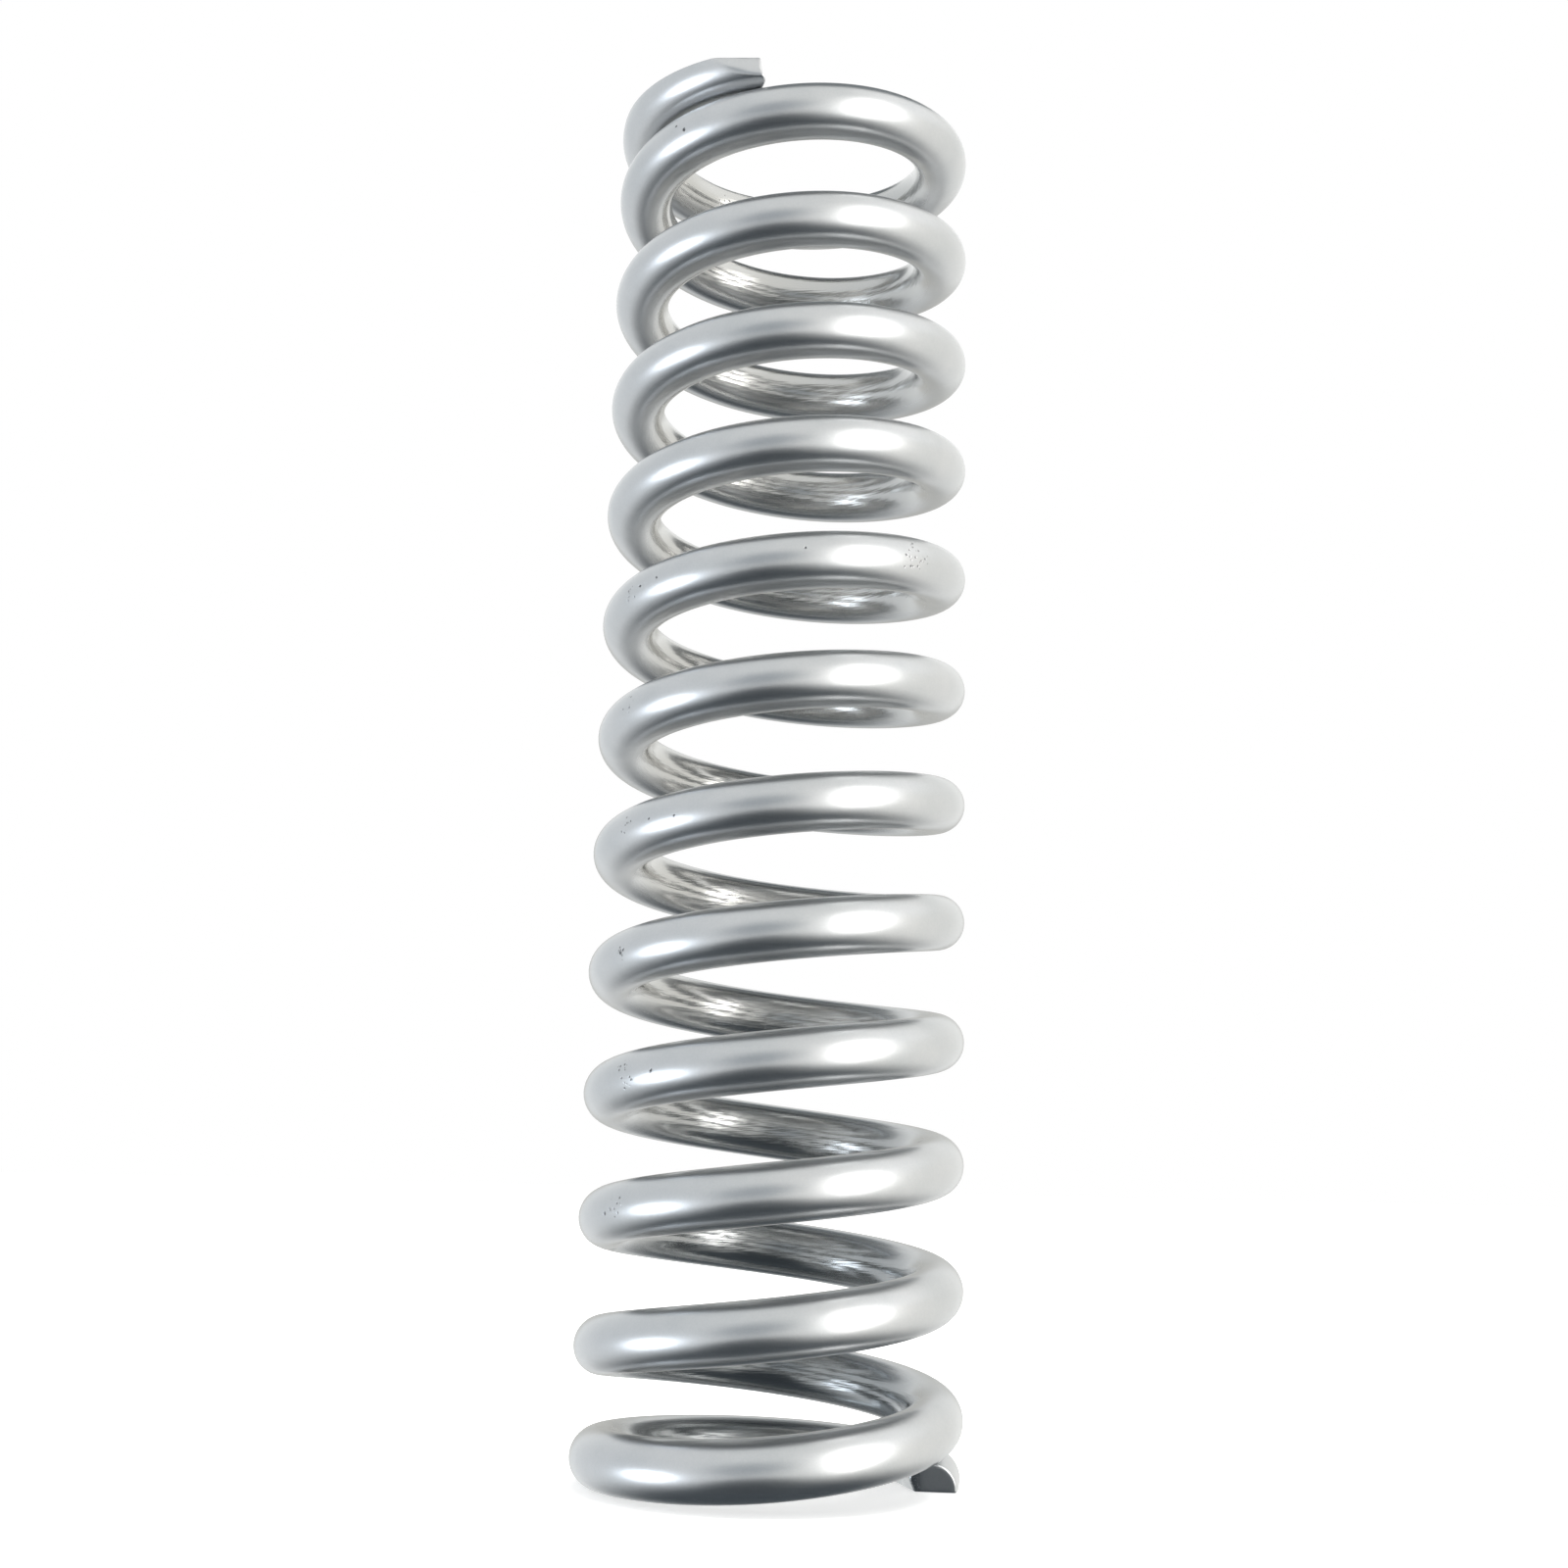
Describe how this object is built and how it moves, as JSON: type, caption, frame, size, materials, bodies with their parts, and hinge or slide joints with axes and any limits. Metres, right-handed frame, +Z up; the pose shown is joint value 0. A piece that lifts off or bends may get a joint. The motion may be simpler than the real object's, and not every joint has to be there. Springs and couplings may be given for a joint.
{
  "type": "coilover spring",
  "caption": "Long helical compression spring for a coilover damper: silver-coated round steel wire, wound right-handed, with closed ends ground flat.",
  "frame": {"origin": "on the coil's axis, in the plane of the lower ground face", "axes": "+Z up along the coil's axis; the lower tip of the wire starts on +X and the coil winds counter-clockwise as it rises"},
  "size_m": [0.068, 0.068, 0.254],
  "materials": {
    "silver_powder_coat": "silver metallic powder coat over spring steel, satin gloss with fine flake and a few small pits"
  },
  "bodies": {
    "root": {"coil_spring": "silver_powder_coat"}
  },
  "joints": []
}
